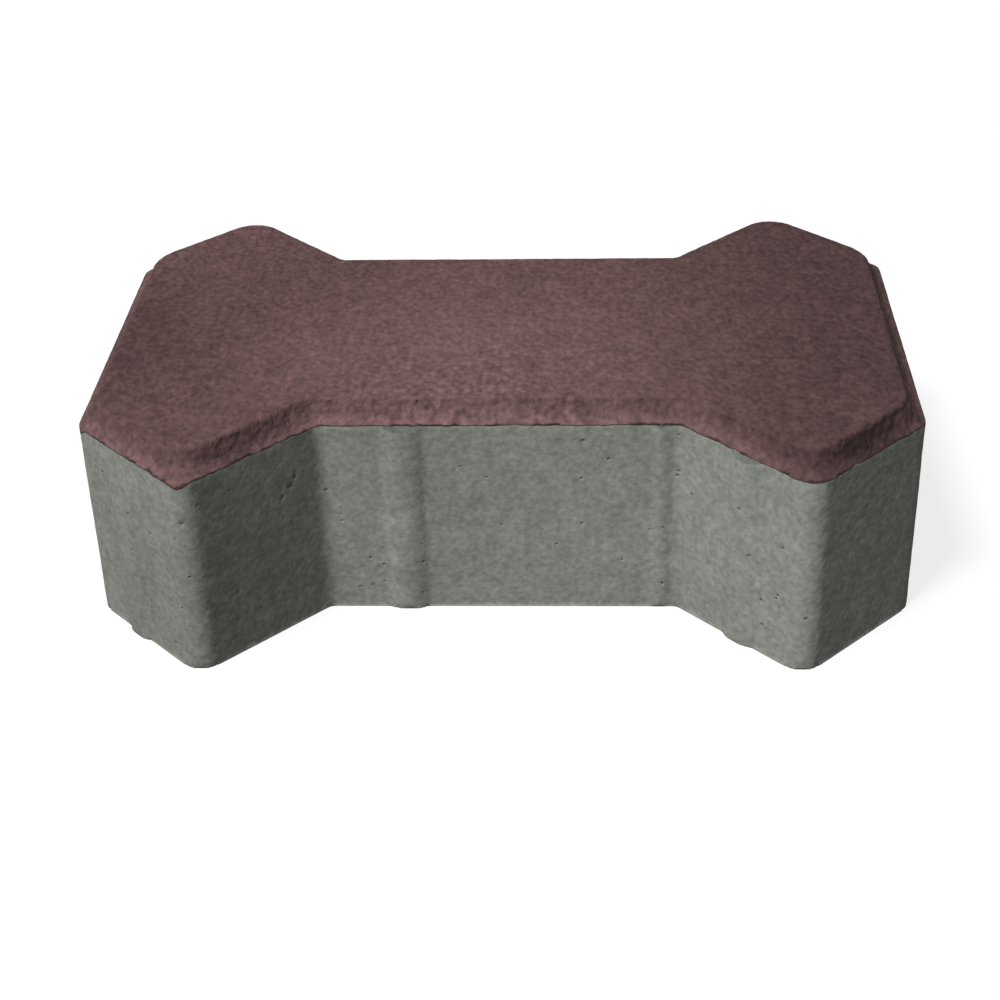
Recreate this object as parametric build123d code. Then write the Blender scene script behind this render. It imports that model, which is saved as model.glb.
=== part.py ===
from build123d import *
import math
import os

# Interlocking concrete paving stone of the dog-bone shape, in millimetres.
# It lies as it is laid: X runs along its length, Z is up, and the origin is the centre of its
# underside. Seen from above it is a square with a keyed end added at the left and right, and a
# recess of the same form taken out at the front and back. The end of one stone fits the recess
# of the next, which is laid crosswise.
os.makedirs("parts", exist_ok=True)

# Plan
TIP_WIDTH = 150.0       # across the sharp tips, which is also the mouth of each recess
KEY_DEPTH = 30.0        # how far an end stands out past the tips, and how deep a recess is
KEY_FLAT_WIDTH = 90.0   # flat of each end, and of the floor of each recess
CORNER_RADIUS = 6.0     # outward corners of the walls
NOOK_RADIUS = 4.0       # corners of a recess's floor, the same at every level
CREST_TIP_RADIUS = 8.5  # the wearing surface's corners at the tips
CREST_END_RADIUS = 14.0     # and at the ends

# Section
THICKNESS = 60.0        # underside to wearing surface
LEDGE_WIDTH = 0.9       # narrow ledge along the top of the walls
ARRIS_RADIUS = 0.5      # rounded outer edge of the ledge
BEVEL_WIDTH = 3.6       # hollow bevel between ledge and wearing surface, seen from above
BEVEL_HEIGHT = 5.3
BEVEL_HOLLOW = 0.4      # how far the bevel dips behind a straight slope
BEVEL_FACETS = 4
CREST_EDGE_RADIUS = 0.6     # soft edge between the bevel and the wearing surface, in section

# Spacer ribs, which keep the joint open between laid stones
JOINT = 2.0             # gap between an end and the floor of the recess that it fits
RIB_WIDTH = 10.5        # at the wall
RIB_FROM_NOOK = 20.7    # centre of a recess's rib from the corner of its floor
END_RIB_FROM_CORNER = 17.0  # centre of a rib beside an end from the corner of that end
NARROW_RIB_WIDTH = 5.0
NARROW_RIB_PROUD = 0.45
NARROW_RIB_FROM_NOOK = 4.5
RIB_RUNOUT = 1.0        # height over which a rib slopes back into the wall
FADING_RUNOUT = 36.0    # the same for the ribs beside an end, which show only low down
RIB_ROOT = 1.5          # depth of a rib's buried part

# Places that follow from the sizes above
TIP = TIP_WIDTH / 2
END = TIP + KEY_DEPTH
FLOOR = TIP - KEY_DEPTH
KEY_HALF = KEY_FLAT_WIDTH / 2
RECESS_FLANK_MIDDLE = (KEY_HALF + TIP) / 2
END_FLANK_MIDDLE = (TIP + END) / 2
FLANK_ANGLE = math.degrees(math.atan2(TIP - KEY_HALF, KEY_DEPTH))
CREST_INSET = LEDGE_WIDTH + BEVEL_WIDTH
LEDGE_LEVEL = THICKNESS - BEVEL_HEIGHT
RIB_TOP = LEDGE_LEVEL - ARRIS_RADIUS
RIB_PROUD = JOINT * math.sin(math.radians(FLANK_ANGLE))     # fills the joint between two flanks


def opened_radius(crest_radius, inset):
    """An outward corner's radius, which grows evenly from the wall's to the crest's."""
    return CORNER_RADIUS + (crest_radius - CORNER_RADIUS) * inset / CREST_INSET


def plan(inset, level):
    """The outline as a face at a level, moved inwards from the walls by an inset."""
    quarter = [(END, KEY_HALF), (TIP, TIP), (KEY_HALF, FLOOR)]
    back = quarter + [(-x, y) for x, y in reversed(quarter)]
    front = [(-x, -y) for x, y in back]
    face = make_face(Polyline(*back, *front, close=True))
    if inset:
        face = offset(face, -inset, kind=Kind.INTERSECTION)
    nooks = face.vertices().filter_by(lambda v: abs(v.X) < RECESS_FLANK_MIDDLE)
    face = fillet(nooks, NOOK_RADIUS)
    tips = face.vertices().filter_by(lambda v: RECESS_FLANK_MIDDLE < abs(v.X) < END_FLANK_MIDDLE)
    face = fillet(tips, opened_radius(CREST_TIP_RADIUS, inset))
    ends = face.vertices().filter_by(lambda v: abs(v.X) > END_FLANK_MIDDLE)
    face = fillet(ends, opened_radius(CREST_END_RADIUS, inset))
    return Pos(0, 0, level) * face


def bevel_sections():
    """Outlines from the foot of the bevel to the wearing surface, along a shallow hollow arc."""
    slope_length = math.hypot(BEVEL_WIDTH, BEVEL_HEIGHT)
    sections = []
    for step in range(BEVEL_FACETS + 1):
        along = step / BEVEL_FACETS
        dip = 4 * BEVEL_HOLLOW * along * (1 - along)
        inset = BEVEL_WIDTH * along + dip * BEVEL_HEIGHT / slope_length
        rise = BEVEL_HEIGHT * along - dip * BEVEL_WIDTH / slope_length
        sections.append(plan(LEDGE_WIDTH + inset, LEDGE_LEVEL + rise))
    return sections


def block():
    """Walls and ledge, with the bevelled top on them."""
    walls = extrude(plan(0, 0), LEDGE_LEVEL)
    walls = fillet(walls.edges().group_by(Axis.Z)[-1], ARRIS_RADIUS)
    cap = loft(bevel_sections(), ruled=True)
    cap = fillet(cap.edges().group_by(Axis.Z)[-1], CREST_EDGE_RADIUS)
    return walls + cap


def rib(width, proud, runout):
    """A rib on a wall that faces -Y, with the wall's foot at the origin."""
    arc = ThreePointArc((-width / 2, 0), (0, -proud), (width / 2, 0))
    root = Polyline((width / 2, 0), (width / 2, RIB_ROOT), (-width / 2, RIB_ROOT), (-width / 2, 0))
    bar = extrude(make_face([arc, root]), RIB_TOP)
    slope = Plane((0, 0, RIB_TOP), x_dir=(1, 0, 0), z_dir=(0, -runout, proud))
    return split(bar, slope, keep=Keep.BOTTOM)


def ribs():
    """The ribs of the front, and the same turned half round for the back."""
    left_floor = Pos(-KEY_HALF, -FLOOR) * Pos(RIB_FROM_NOOK, 0)
    right_floor = Pos(KEY_HALF, -FLOOR) * Pos(-NARROW_RIB_FROM_NOOK, 0)
    recess_flank = Pos(KEY_HALF, -FLOOR) * Rot(0, 0, FLANK_ANGLE - 90) * Pos(RIB_FROM_NOOK, 0)
    end_flank = Pos(-END, -KEY_HALF) * Rot(0, 0, -FLANK_ANGLE) * Pos(END_RIB_FROM_CORNER, 0)
    front = [
        left_floor * rib(RIB_WIDTH, RIB_PROUD, RIB_RUNOUT),
        right_floor * rib(NARROW_RIB_WIDTH, NARROW_RIB_PROUD, RIB_RUNOUT),
        recess_flank * rib(RIB_WIDTH, RIB_PROUD, RIB_RUNOUT),
        end_flank * rib(RIB_WIDTH, RIB_PROUD, FADING_RUNOUT),
    ]
    return front + [Rot(0, 0, 180) * one for one in front]


stone = block() + ribs()
stone.label = "paving_stone"
export_step(stone, "parts/paving_stone.step")
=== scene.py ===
import bmesh
import bpy
import math
from mathutils import Matrix, Vector


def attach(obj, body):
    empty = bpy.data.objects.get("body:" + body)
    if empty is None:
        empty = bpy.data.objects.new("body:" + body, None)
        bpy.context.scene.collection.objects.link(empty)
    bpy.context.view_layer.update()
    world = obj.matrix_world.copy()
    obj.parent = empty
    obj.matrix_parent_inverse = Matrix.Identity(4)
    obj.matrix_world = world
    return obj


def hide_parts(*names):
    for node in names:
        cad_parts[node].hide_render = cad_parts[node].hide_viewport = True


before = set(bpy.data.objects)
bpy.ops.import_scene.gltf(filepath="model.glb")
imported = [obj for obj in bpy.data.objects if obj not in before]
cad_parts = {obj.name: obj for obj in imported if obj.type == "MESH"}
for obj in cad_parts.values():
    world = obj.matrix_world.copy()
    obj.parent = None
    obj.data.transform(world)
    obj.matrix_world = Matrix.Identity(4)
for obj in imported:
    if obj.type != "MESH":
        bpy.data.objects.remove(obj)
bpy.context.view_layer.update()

# The paving stone is one block of machine-pressed concrete: a grey backing mix, with a dark red
# facing mix on top of it. The mould leaves the walls smooth with small air holes, and the
# tamper leaves a sandy wearing surface with a soft crest round it.
MM = 0.001
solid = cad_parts["paving_stone"].data
ARRIS = 0.5             # mm, the rounded outer edge of the ledge
end_face = max(point.co.x for point in solid.vertices) - (ARRIS + 0.1) * MM
LEDGE_LEVEL = max(point.co.z for point in solid.vertices if point.co.x > end_face) / MM
SMOOTH = {"interpolation_type": "SMOOTHSTEP"}


def add(tree, kind, inputs=None, **settings):
    """Adds a node, sets its properties, and links or sets its inputs."""
    node = tree.nodes.new(kind)
    for name, value in settings.items():
        setattr(node, name, value)
    for name, value in (inputs or {}).items():
        if isinstance(value, bpy.types.Node):
            value = next(socket for socket in value.outputs if socket.enabled)
        if isinstance(value, bpy.types.NodeSocket):
            tree.links.new(value, node.inputs[name])
        else:
            node.inputs[name].default_value = value
    return node


def linear(code):
    """An sRGB hex colour as the linear colour of a socket."""
    channels = [int(code[place:place + 2], 16) / 255 for place in (1, 3, 5)]
    channels = [c / 12.92 if c <= 0.04045 else ((c + 0.055) / 1.055) ** 2.4 for c in channels]
    return (*channels, 1.0)


# Machine-pressed concrete has no sheen: cement paste over fine sand, rough at every scale.
# The facing is coloured right through with iron oxide, and the backing is bare grey cement.
concrete = bpy.data.materials.new("machine_pressed_concrete")
concrete.use_nodes = True
tree = concrete.node_tree
shader = tree.nodes["Principled BSDF"]
shader.inputs["Roughness"].default_value = 0.93
shader.inputs["Specular IOR Level"].default_value = 0.15
coordinates = add(tree, "ShaderNodeTexCoord").outputs["Object"]
place = add(tree, "ShaderNodeVectorMath", {0: coordinates, "Scale": 1 / MM}, operation="SCALE")
height = add(tree, "ShaderNodeSeparateXYZ", {0: place}).outputs["Z"]
flat_place = add(tree, "ShaderNodeVectorMath", {0: place, 1: (1.0, 1.0, 0.0)}, operation="MULTIPLY")

# The two mixes meet at the outer edge of the ledge, in a line that wanders by a few tenths of a
# millimetre. At two corners the facing was squeezed down the wall.
EDGE_MIDDLE = LEDGE_LEVEL - ARRIS
EDGE_BLUR = 0.1         # mm, to each side
EDGE_WANDER = ((2.6, 0.6), (9.0, 0.9))      # how long and how deep its waves are, in mm
SQUEEZED = (            # x, y, reach and depth, in mm
    (-75.0, -73.0, 3.6, 1.9),
    (-105.0, -44.0, 4.5, 2.6),
)
edge = EDGE_MIDDLE - sum(depth for length, depth in EDGE_WANDER) / 2
for length, depth in EDGE_WANDER:
    wave = add(tree, "ShaderNodeTexNoise", {"Vector": place, "Scale": 1 / length, "Detail": 3.0})
    edge = add(tree, "ShaderNodeMath", {0: wave, 1: depth, 2: edge}, operation="MULTIPLY_ADD")
for x, y, reach, depth in SQUEEZED:
    away = add(tree, "ShaderNodeVectorMath", {0: flat_place, 1: (x, y, 0.0)}, operation="DISTANCE")
    lower = add(tree, "ShaderNodeMapRange",
                {"Value": away, "From Min": reach, "From Max": 0.0, "To Max": depth})
    edge = add(tree, "ShaderNodeMath", {0: edge, 1: lower}, operation="SUBTRACT")
above_edge = add(tree, "ShaderNodeMath", {0: height, 1: edge}, operation="SUBTRACT")
facing = add(tree, "ShaderNodeMapRange",
             {"Value": above_edge, "From Min": -EDGE_BLUR, "From Max": EDGE_BLUR}, **SMOOTH)

# Lime has bloomed on the middle and the front of the facing. The narrow ledge and the foot of
# the bevel are a little paler too.
BLOOM_MIDDLE = (-5.0, -32.0, 0.0)
BLOOM_REACH = 76.0      # mm
BLOOM_SHARE = 0.6       # at its middle
PALE_FOOT_HEIGHT = 2.6  # mm above the ledge, where the paler foot ends
PALE_FOOT_SHARE = 0.42  # on the ledge
away = add(tree, "ShaderNodeVectorMath", {0: flat_place, 1: BLOOM_MIDDLE}, operation="DISTANCE")
bloom = add(tree, "ShaderNodeMapRange",
            {"Value": away, "From Min": BLOOM_REACH, "From Max": 0.0, "To Max": BLOOM_SHARE}, **SMOOTH)
red = add(tree, "ShaderNodeMix", {0: bloom, 6: linear("#5b4444"), 7: linear("#725858")},
          data_type="RGBA")
share = add(tree, "ShaderNodeMapRange",
            {"Value": height, "From Min": LEDGE_LEVEL + PALE_FOOT_HEIGHT, "From Max": LEDGE_LEVEL,
             "To Max": PALE_FOOT_SHARE}, **SMOOTH)
red = add(tree, "ShaderNodeMix", {0: share, 6: red, 7: linear("#795c5d")}, data_type="RGBA")

# The rib tops are painted darker, as painted shade, and the wall beside the front left tip is a little
# darker.
GREYER_MIDDLE = (-96.0, -66.0, 0.0)
GREYER_REACH = 52.0     # mm
GREYER_BRIGHTNESS = 0.87
# Painted shade: the rib tops are darkened where they look up.
rib_top_shade = add(tree, "ShaderNodeAttribute", attribute_name="rib_top").outputs["Fac"]
grey = add(tree, "ShaderNodeMix", {0: rib_top_shade, 6: linear("#8b8d86"), 7: linear("#62645f")},
           data_type="RGBA")
away = add(tree, "ShaderNodeVectorMath", {0: flat_place, 1: GREYER_MIDDLE}, operation="DISTANCE")
share = add(tree, "ShaderNodeMapRange",
            {"Value": away, "From Min": GREYER_REACH, "From Max": 0.0, "To Min": 1.0,
             "To Max": GREYER_BRIGHTNESS}, **SMOOTH)
grey = add(tree, "ShaderNodeVectorMath", {0: grey, "Scale": share}, operation="SCALE")

# The facing is darker towards both ends, and painted shade darkens the bevel of the flanks that face
# right. Each patch is its middle, its reach in mm, how much it is squashed front to back, the height from
# which it ends, and its brightness.
NO_END = 99.0           # mm, above the whole stone
BEVEL_END = LEDGE_LEVEL + 4.0
DARK_AND_SHADED_PATCHES = (
    (125.0, 0.0, 130.0, 0.4, NO_END, 0.60),
    (-112.0, -10.0, 62.0, 1.0, NO_END, 0.62),
    # These two are painted shade on the bevel of the flanks that face right.
    (-60.0, -60.0, 26.0, 1.0, BEVEL_END, 0.68),
    (90.0, -60.0, 30.0, 1.0, BEVEL_END, 0.45),
)
FADE_ABOVE = 1.2        # mm, where a patch has faded out above its end
FADE_BELOW = 0.4        # mm, where it begins to fade below it
for x, y, reach, squash, ends_at, darkest in DARK_AND_SHADED_PATCHES:
    squashed = add(tree, "ShaderNodeVectorMath", {0: flat_place, 1: (1.0, squash, 0.0)},
                   operation="MULTIPLY")
    away = add(tree, "ShaderNodeVectorMath", {0: squashed, 1: (x, squash * y, 0.0)},
               operation="DISTANCE")
    share = add(tree, "ShaderNodeMapRange",
                {"Value": away, "From Min": reach, "From Max": 0.0, "To Max": 1.0 - darkest}, **SMOOTH)
    low = add(tree, "ShaderNodeMapRange",
              {"Value": height, "From Min": ends_at + FADE_ABOVE, "From Max": ends_at - FADE_BELOW},
              **SMOOTH)
    share = add(tree, "ShaderNodeMath", {0: share, 1: low}, operation="MULTIPLY")
    share = add(tree, "ShaderNodeMath", {0: 1.0, 1: share}, operation="SUBTRACT")
    red = add(tree, "ShaderNodeVectorMath", {0: red, "Scale": share}, operation="SCALE")

# Both mixes are mottled at several scales. Each grain is the width of its lumps in mm and how
# much they change the brightness on the walls and on the facing. The sand itself is 0.3 to 1 mm,
# too fine to show, so the finest grain is drawn about twice as coarse. On the facing it is also
# longer front to back, so that it still looks round at the low angle of the photograph.
GRAINS = ((60.0, 0.10, 0.10), (9.0, 0.08, 0.06), (3.4, 0.09, 0.14), (1.5, 0.19, 0.26))
GRAIN_STRETCH = 1.4
GRAIN_SHIFT = (31.0, 17.0)      # mm from one grain's pattern to the next, so that they differ

# The fine grain stands out most at the front of the bloom, where lime lies only on raised sand.
# The rest of the bloom lies evenly and covers the sand.
FINE = 5.0              # mm, narrower grains than this stand out unevenly
COARSE_MIDDLE = (-5.0, -44.0, 0.0)
COARSE_REACH = 50.0     # mm
COARSE_CORE = 8.0       # mm, within which it stands out most
STANDING_OUT = (1.15, 1.85)     # outside the reach, and in the core
HIDDEN_BY_LIME = 0.75
away = add(tree, "ShaderNodeVectorMath", {0: flat_place, 1: COARSE_MIDDLE}, operation="DISTANCE")
standing_out = add(tree, "ShaderNodeMapRange",
                   {"Value": away, "From Min": COARSE_REACH, "From Max": COARSE_CORE,
                    "To Min": STANDING_OUT[0], "To Max": STANDING_OUT[1]}, **SMOOTH)
standing_out = add(tree, "ShaderNodeMath", {0: bloom, 1: -HIDDEN_BY_LIME, 2: standing_out},
                   operation="MULTIPLY_ADD")
shorter = add(tree, "ShaderNodeMapRange",
              {"Value": facing, "To Min": 1.0, "To Max": 1.0 / GRAIN_STRETCH})
shorter = add(tree, "ShaderNodeCombineXYZ", {"X": 1.0, "Y": shorter, "Z": 1.0})
stretched = add(tree, "ShaderNodeVectorMath", {0: place, 1: shorter}, operation="MULTIPLY")
brightness = 1.0
for number, (width, on_wall, on_facing) in enumerate(GRAINS):
    shift = (number * GRAIN_SHIFT[0], number * GRAIN_SHIFT[1], 0.0)
    moved = add(tree, "ShaderNodeVectorMath", {0: stretched, 1: shift}, operation="ADD")
    lumps = add(tree, "ShaderNodeTexNoise", {"Vector": moved, "Scale": 1 / width, "Detail": 1.0})
    change = add(tree, "ShaderNodeMapRange",
                 {"Value": lumps, "From Min": 0.25, "From Max": 0.75, "To Min": -1.0})
    if width < FINE:
        on_facing = add(tree, "ShaderNodeMath", {0: standing_out, 1: on_facing}, operation="MULTIPLY")
    strength = add(tree, "ShaderNodeMapRange", {"Value": facing, "To Min": on_wall, "To Max": on_facing})
    share = add(tree, "ShaderNodeMath", {0: change, 1: strength, 2: 1.0}, operation="MULTIPLY_ADD")
    brightness = add(tree, "ShaderNodeMath", {0: brightness, 1: share}, operation="MULTIPLY")

# Along the lower rim of the facing runs a thin dark line, broken here and there: painted shadow under the
# lip of the facing.
LIP_SHADOW_TOP = 0.42         # mm above the edge, where the line ends
LIP_SHADOW_CORE = 0.15        # mm above the edge, below which it is darkest
LIP_SHADOW_SHARE = 0.85
BREAK_WIDTH = 6.0       # mm
in_lip_shadow = add(tree, "ShaderNodeMapRange",
              {"Value": above_edge, "From Min": LIP_SHADOW_TOP, "From Max": LIP_SHADOW_CORE, "To Max": LIP_SHADOW_SHARE},
              **SMOOTH)
broken = add(tree, "ShaderNodeTexNoise", {"Vector": place, "Scale": 1 / BREAK_WIDTH, "Detail": 2.0})
broken = add(tree, "ShaderNodeMapRange", {"Value": broken, "From Min": 0.44, "From Max": 0.56}, **SMOOTH)
share = add(tree, "ShaderNodeMath", {0: in_lip_shadow, 1: broken}, operation="MULTIPLY")
red = add(tree, "ShaderNodeMix", {0: share, 6: red, 7: linear("#2a1c1d")}, data_type="RGBA")
colour = add(tree, "ShaderNodeMix", {0: facing, 6: grey, 7: red}, data_type="RGBA")
colour = add(tree, "ShaderNodeVectorMath", {0: colour, "Scale": brightness}, operation="SCALE")

# Fine pores, sand and the lip of the facing are too small for the mesh, so they are bump, with
# heights in millimetres. Pores and the mesh's own holes are painted darker inside, as painted shade.
PORE_SPACING = 3.4
PORE_RADIUS = 0.50
PORE_RIM = 1.3          # radii from the middle, where a pore begins
PORE_CORE = 0.4         # radii from the middle, where it is deepest
PORE_SHARE = 0.17       # of the places that could have one
PORE_DEPTH = 0.22
HOLE_SHADE = 0.22
SAND = ((1.4, 0.10, 0.46), (3.0, 0.07, 0.32))    # width, and height on the walls and the facing
LIP = 0.12
cells = add(tree, "ShaderNodeTexVoronoi", {"Vector": place, "Scale": 1 / PORE_SPACING})
lot = add(tree, "ShaderNodeSeparateXYZ", {0: cells.outputs["Color"]})
chosen = add(tree, "ShaderNodeMath", {0: lot, 1: PORE_SHARE}, operation="LESS_THAN")
inside = add(tree, "ShaderNodeMapRange",
             {"Value": cells, "From Min": PORE_RIM * PORE_RADIUS / PORE_SPACING,
              "From Max": PORE_CORE * PORE_RADIUS / PORE_SPACING}, **SMOOTH)
pore = add(tree, "ShaderNodeMath", {0: inside, 1: chosen}, operation="MULTIPLY")
in_hole = add(tree, "ShaderNodeAttribute", attribute_name="hollow").outputs["Fac"]
# Painted shade: the pores and the mesh's holes are darkened inside.
dark = add(tree, "ShaderNodeMath", {0: pore, 1: in_hole}, operation="MAXIMUM")
dark = add(tree, "ShaderNodeMath", {0: dark, 1: HOLE_SHADE}, operation="MULTIPLY")
colour = add(tree, "ShaderNodeMix", {0: dark, 6: colour, 7: linear("#2d2b29")}, data_type="RGBA")
relief_height = add(tree, "ShaderNodeMath", {0: facing, 1: LIP}, operation="MULTIPLY")
for width, on_wall, on_facing in SAND:
    lumps = add(tree, "ShaderNodeTexNoise", {"Vector": stretched, "Scale": 1 / width, "Detail": 1.0})
    tall = add(tree, "ShaderNodeMapRange", {"Value": facing, "To Min": on_wall, "To Max": on_facing})
    relief_height = add(tree, "ShaderNodeMath", {0: lumps, 1: tall, 2: relief_height},
                        operation="MULTIPLY_ADD")
relief_height = add(tree, "ShaderNodeMath", {0: pore, 1: -PORE_DEPTH, 2: relief_height},
                    operation="MULTIPLY_ADD")
bump = add(tree, "ShaderNodeBump", {"Height": relief_height, "Distance": MM, "Strength": 1.0})
tree.links.new(colour.outputs[2], shader.inputs["Base Color"])
tree.links.new(bump.outputs[0], shader.inputs["Normal"])

# The relief only ever goes inwards from the solid, so the stone keeps its size. The underside
# stays flat, as the board under the mould leaves it. All sizes are in millimetres.
RELIEF_SIZES = {
    "Seed": 4.0,
    "Swell width": 28.0,        # slow unevenness of the whole surface
    "Swell depth": 0.20,
    "Lump width": 4.6,
    "Lump depth": 0.20,
    "Sand width": 2.2,          # coarser than the real sand, so that it shows
    "Sand depth": 0.11,
    "Hole spacing": 5.0,        # small air holes, and the share of places that have one
    "Hole radius": 0.8,
    "Hole share": 0.11,
    "Hole depth": 0.5,
    "Void spacing": 19.0,       # larger air holes
    "Void radius": 1.2,
    "Void share": 0.30,
    "Void depth": 0.9,
    "Pit depth": 0.5,
    "Bevel grain width": 2.0,   # sand that stands up on the bevel
    "Bevel grain depth": 0.3,
}
# The larger holes that the photograph shows, each by its place and radius in mm.
PITS = (
    (-51.8, -51.8, 41.0, 1.2),
    (-53.4, -53.6, 38.9, 0.9),
    (-50.3, -50.6, 42.6, 0.8),
    (-75.0, -73.0, 43.0, 0.8),
    (-77.0, 0.5, 60.0, 1.0),
    (-63.8, -27.7, 60.0, 0.9),
    (-82.9, -38.0, 60.0, 0.9),
)
RAGGED_WIDTH = 1.6      # mm, the waves in the outline of a pit
RAGGED_DEPTH = 2.6
relief = bpy.data.node_groups.new("pressed_concrete_relief", "GeometryNodeTree")
relief.interface.new_socket("Geometry", in_out="INPUT", socket_type="NodeSocketGeometry")
sockets = {name: relief.interface.new_socket(name, in_out="INPUT", socket_type="NodeSocketFloat")
           for name in RELIEF_SIZES}
relief.interface.new_socket("Geometry", in_out="OUTPUT", socket_type="NodeSocketGeometry")
given = relief.nodes.new("NodeGroupInput").outputs
position = add(relief, "GeometryNodeInputPosition")
place = add(relief, "ShaderNodeVectorMath", {0: position, "Scale": 1 / MM}, operation="SCALE")
height = add(relief, "ShaderNodeSeparateXYZ", {0: place}).outputs["Z"]
normal = add(relief, "GeometryNodeInputNormal").outputs[0]
up = add(relief, "ShaderNodeSeparateXYZ", {0: normal}).outputs["Z"]
on_facing = add(relief, "ShaderNodeMapRange",
                {"Value": height, "From Min": LEDGE_LEVEL, "From Max": LEDGE_LEVEL + 0.8}, **SMOOTH)
sloping = add(relief, "ShaderNodeMapRange", {"Value": up, "From Min": 0.995, "From Max": 0.85}, **SMOOTH)
sloping = add(relief, "ShaderNodeMath", {0: sloping, 1: on_facing}, operation="MULTIPLY")

# Swells, lumps and sand lie all over, and the bevel grain only on the slope of the facing.
depth = 0.0
for name in ("Swell", "Lump", "Sand", "Bevel grain"):
    scale = add(relief, "ShaderNodeMath", {0: 1.0, 1: given[name + " width"]}, operation="DIVIDE")
    lumps = add(relief, "ShaderNodeTexNoise",
                {"Vector": place, "W": given["Seed"], "Scale": scale, "Detail": 1.0},
                noise_dimensions="4D")
    tall = given[name + " depth"]
    if name == "Bevel grain":
        lumps = add(relief, "ShaderNodeMapRange", {"Value": lumps, "From Min": 0.35, "From Max": 0.7})
        tall = add(relief, "ShaderNodeMath", {0: tall, 1: sloping}, operation="MULTIPLY")
    depth = add(relief, "ShaderNodeMath", {0: lumps, 1: tall, 2: depth}, operation="MULTIPLY_ADD")

# Air holes are scattered by chance, and the pits lie where the photograph shows them.
hollow = 0.0
for name in ("Hole", "Void"):
    scale = add(relief, "ShaderNodeMath", {0: 1.0, 1: given[name + " spacing"]}, operation="DIVIDE")
    cells = add(relief, "ShaderNodeTexVoronoi", {"Vector": place, "W": given["Seed"], "Scale": scale},
                voronoi_dimensions="4D")
    lot = add(relief, "ShaderNodeSeparateXYZ", {0: cells.outputs["Color"]})
    chosen = add(relief, "ShaderNodeMath", {0: lot, 1: given[name + " share"]}, operation="LESS_THAN")
    rim = add(relief, "ShaderNodeMath", {0: given[name + " radius"], 1: scale}, operation="MULTIPLY")
    inside = add(relief, "ShaderNodeMapRange", {"Value": cells, "From Min": rim, "From Max": 0.0},
                 **SMOOTH)
    hole = add(relief, "ShaderNodeMath", {0: inside, 1: chosen}, operation="MULTIPLY")
    depth = add(relief, "ShaderNodeMath", {0: hole, 1: given[name + " depth"], 2: depth},
                operation="MULTIPLY_ADD")
    hollow = add(relief, "ShaderNodeMath", {0: hole, 1: hollow}, operation="MAXIMUM")
ragged = add(relief, "ShaderNodeTexNoise",
             {"Vector": place, "W": given["Seed"], "Scale": 1 / RAGGED_WIDTH}, noise_dimensions="4D")
ragged = add(relief, "ShaderNodeVectorMath",
             {0: ragged.outputs["Color"], 1: (RAGGED_DEPTH, RAGGED_DEPTH, RAGGED_DEPTH), 2: place},
             operation="MULTIPLY_ADD")
for x, y, z, radius in PITS:
    middle = tuple(along + RAGGED_DEPTH / 2 for along in (x, y, z))
    away = add(relief, "ShaderNodeVectorMath", {0: ragged, 1: middle}, operation="DISTANCE")
    pit = add(relief, "ShaderNodeMapRange",
              {"Value": away, "From Min": radius, "From Max": 0.3 * radius}, **SMOOTH)
    depth = add(relief, "ShaderNodeMath", {0: pit, 1: given["Pit depth"], 2: depth},
                operation="MULTIPLY_ADD")
    hollow = add(relief, "ShaderNodeMath", {0: pit, 1: hollow}, operation="MAXIMUM")
off_board = add(relief, "ShaderNodeMapRange", {"Value": up, "From Min": -0.95, "From Max": -0.4}, **SMOOTH)
depth = add(relief, "ShaderNodeMath", {0: depth, 1: off_board}, operation="MULTIPLY")
hollow = add(relief, "ShaderNodeMath", {0: hollow, 1: off_board}, operation="MULTIPLY")

# The rib tops are what looks up below the ledge. They and the holes are kept as attributes for
# the material, which paints both darker as painted shade.
rib_top = add(relief, "ShaderNodeMapRange", {"Value": up, "From Min": 0.1, "From Max": 0.4}, **SMOOTH)
below_ledge = add(relief, "ShaderNodeMath", {0: height, 1: LEDGE_LEVEL - 0.15}, operation="LESS_THAN")
rib_top = add(relief, "ShaderNodeMath", {0: rib_top, 1: below_ledge}, operation="MULTIPLY")
pressed = given["Geometry"]
for name, value in (("hollow", hollow), ("rib_top", rib_top)):
    pressed = add(relief, "GeometryNodeStoreNamedAttribute",
                  {"Geometry": pressed, "Name": name, "Value": value},
                  data_type="FLOAT", domain="POINT")
depth = add(relief, "ShaderNodeMath", {0: depth, 1: -MM}, operation="MULTIPLY")
inwards = add(relief, "ShaderNodeVectorMath", {0: normal, "Scale": depth}, operation="SCALE")
pressed = add(relief, "GeometryNodeSetPosition", {"Geometry": pressed, "Offset": inwards})
pressed = add(relief, "GeometryNodeRealizeInstances", {0: pressed})
pressed = add(relief, "GeometryNodeSetMaterial", {"Geometry": pressed, "Material": concrete})
add(relief, "NodeGroupOutput", {"Geometry": pressed})

# The block is a copy of the solid, meshed evenly, given its relief, and thinned where it is flat.
VOXEL = 0.5             # mm
KEPT_SHARE = 0.25       # of the even mesh's triangles
block = bmesh.new()
block.from_mesh(solid)
bmesh.ops.remove_doubles(block, verts=block.verts, dist=0.001 * MM)
block_mesh = bpy.data.meshes.new("block")
block.to_mesh(block_mesh)
block.free()
block_mesh.materials.clear()
carrier = bpy.data.objects.new("block", block_mesh)
bpy.context.scene.collection.objects.link(carrier)
even = carrier.modifiers.new("even_mesh", "REMESH")
even.mode = "VOXEL"
even.voxel_size = VOXEL * MM
even.use_smooth_shade = True
surface = carrier.modifiers.new("relief", "NODES")
surface.node_group = relief
for name, value in RELIEF_SIZES.items():
    surface[sockets[name].identifier] = value
thin = carrier.modifiers.new("thin", "DECIMATE")
thin.ratio = KEPT_SHARE
thin.use_collapse_triangulate = True
evaluated = carrier.evaluated_get(bpy.context.evaluated_depsgraph_get())
stone_mesh = bpy.data.meshes.new_from_object(evaluated)
bpy.data.objects.remove(carrier)
stone_mesh.name = "pressed_stone"
stone_mesh.shade_smooth()
stone = bpy.data.objects.new("pressed_stone", stone_mesh)
bpy.context.scene.collection.objects.link(stone)
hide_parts("paving_stone")
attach(stone, "root")

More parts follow.
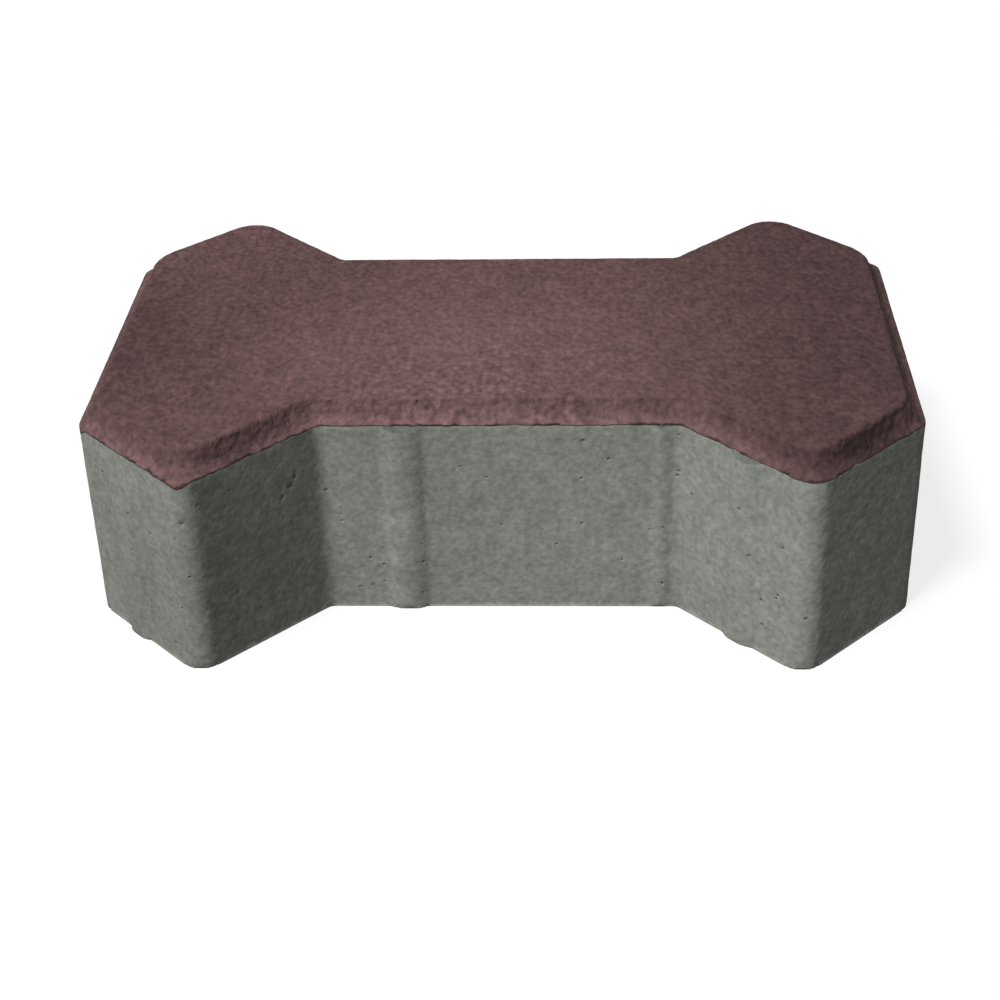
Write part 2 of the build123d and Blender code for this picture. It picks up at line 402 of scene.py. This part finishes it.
# The floor is a plain pale sheet of matt paper, larger than the camera sees. It is lit from
# below, as on a light table, which leaves only a faint shadow.
FLOOR_HALF = 30.0       # m
PAPER_GLOW = 0.81
floor_corners = [(x * FLOOR_HALF, y * FLOOR_HALF, 0) for x, y in ((-1, -1), (1, -1), (1, 1), (-1, 1))]
floor_mesh = bpy.data.meshes.new("floor")
floor_mesh.from_pydata(floor_corners, [], [(0, 1, 2, 3)])
floor = bpy.data.objects.new("floor", floor_mesh)
bpy.context.scene.collection.objects.link(floor)
paper = bpy.data.materials.new("matt_paper")
paper.use_nodes = True
paper_shader = paper.node_tree.nodes["Principled BSDF"]
paper_shader.inputs["Base Color"].default_value = linear("#707070")
paper_shader.inputs["Roughness"].default_value = 1.0
paper_shader.inputs["Specular IOR Level"].default_value = 0.0
paper_shader.inputs["Emission Color"].default_value = linear("#ffffff")
paper_shader.inputs["Emission Strength"].default_value = PAPER_GLOW
paper.cycles.emission_sampling = "NONE"
floor_mesh.materials.append(paper)
floor.visible_diffuse = False     # the stone gets no light back from the floor, as in the photograph

# One large soft light stands far off, in front and to the left, and the room fills in the rest.
KEY_LEFT = math.radians(42)
KEY_UP = math.radians(58)
KEY_SPREAD = math.radians(14)
KEY_ENERGY = 4.05
ROOM_STRENGTH = 0.175
level = math.cos(KEY_UP)
to_key = Vector((-math.sin(KEY_LEFT) * level, -math.cos(KEY_LEFT) * level, math.sin(KEY_UP)))
key = bpy.data.objects.new("soft_key", bpy.data.lights.new("soft_key", "SUN"))
key.data.angle = KEY_SPREAD
key.data.energy = KEY_ENERGY
key.matrix_world = to_key.to_track_quat("Z", "Y").to_matrix().to_4x4()
bpy.context.scene.collection.objects.link(key)
room = bpy.data.worlds.new("room")
room.use_nodes = True
room.node_tree.nodes["Background"].inputs["Color"].default_value = linear("#ffffff")
room.node_tree.nodes["Background"].inputs["Strength"].default_value = ROOM_STRENGTH
bpy.context.scene.world = room
bpy.context.scene.view_settings.view_transform = "Standard"

# The camera looks at the stone as the photograph does, from in front and above, a little to
# its right. Its place and lens were worked out from the stone's corners, for a square frame.
CAMERA_PLACE = Vector((0.0208, -0.4584, 0.2913))
CAMERA_DOWN = math.radians(31.99)
CAMERA_LEFT = math.radians(2.89)
CAMERA_ROLL = math.radians(-1.61)
CAMERA_LENS = 69.68     # mm, on a sensor 36 mm wide
camera = bpy.data.objects.new("camera", bpy.data.cameras.new("camera"))
camera.data.lens = CAMERA_LENS
camera.data.sensor_width = 36.0
camera.data.clip_start = 0.01
turn = Matrix.Rotation(CAMERA_LEFT, 4, "Z") @ Matrix.Rotation(math.pi / 2 - CAMERA_DOWN, 4, "X")
camera.matrix_world = Matrix.Translation(CAMERA_PLACE) @ turn @ Matrix.Rotation(CAMERA_ROLL, 4, "Z")
bpy.context.scene.collection.objects.link(camera)
bpy.context.scene.camera = camera
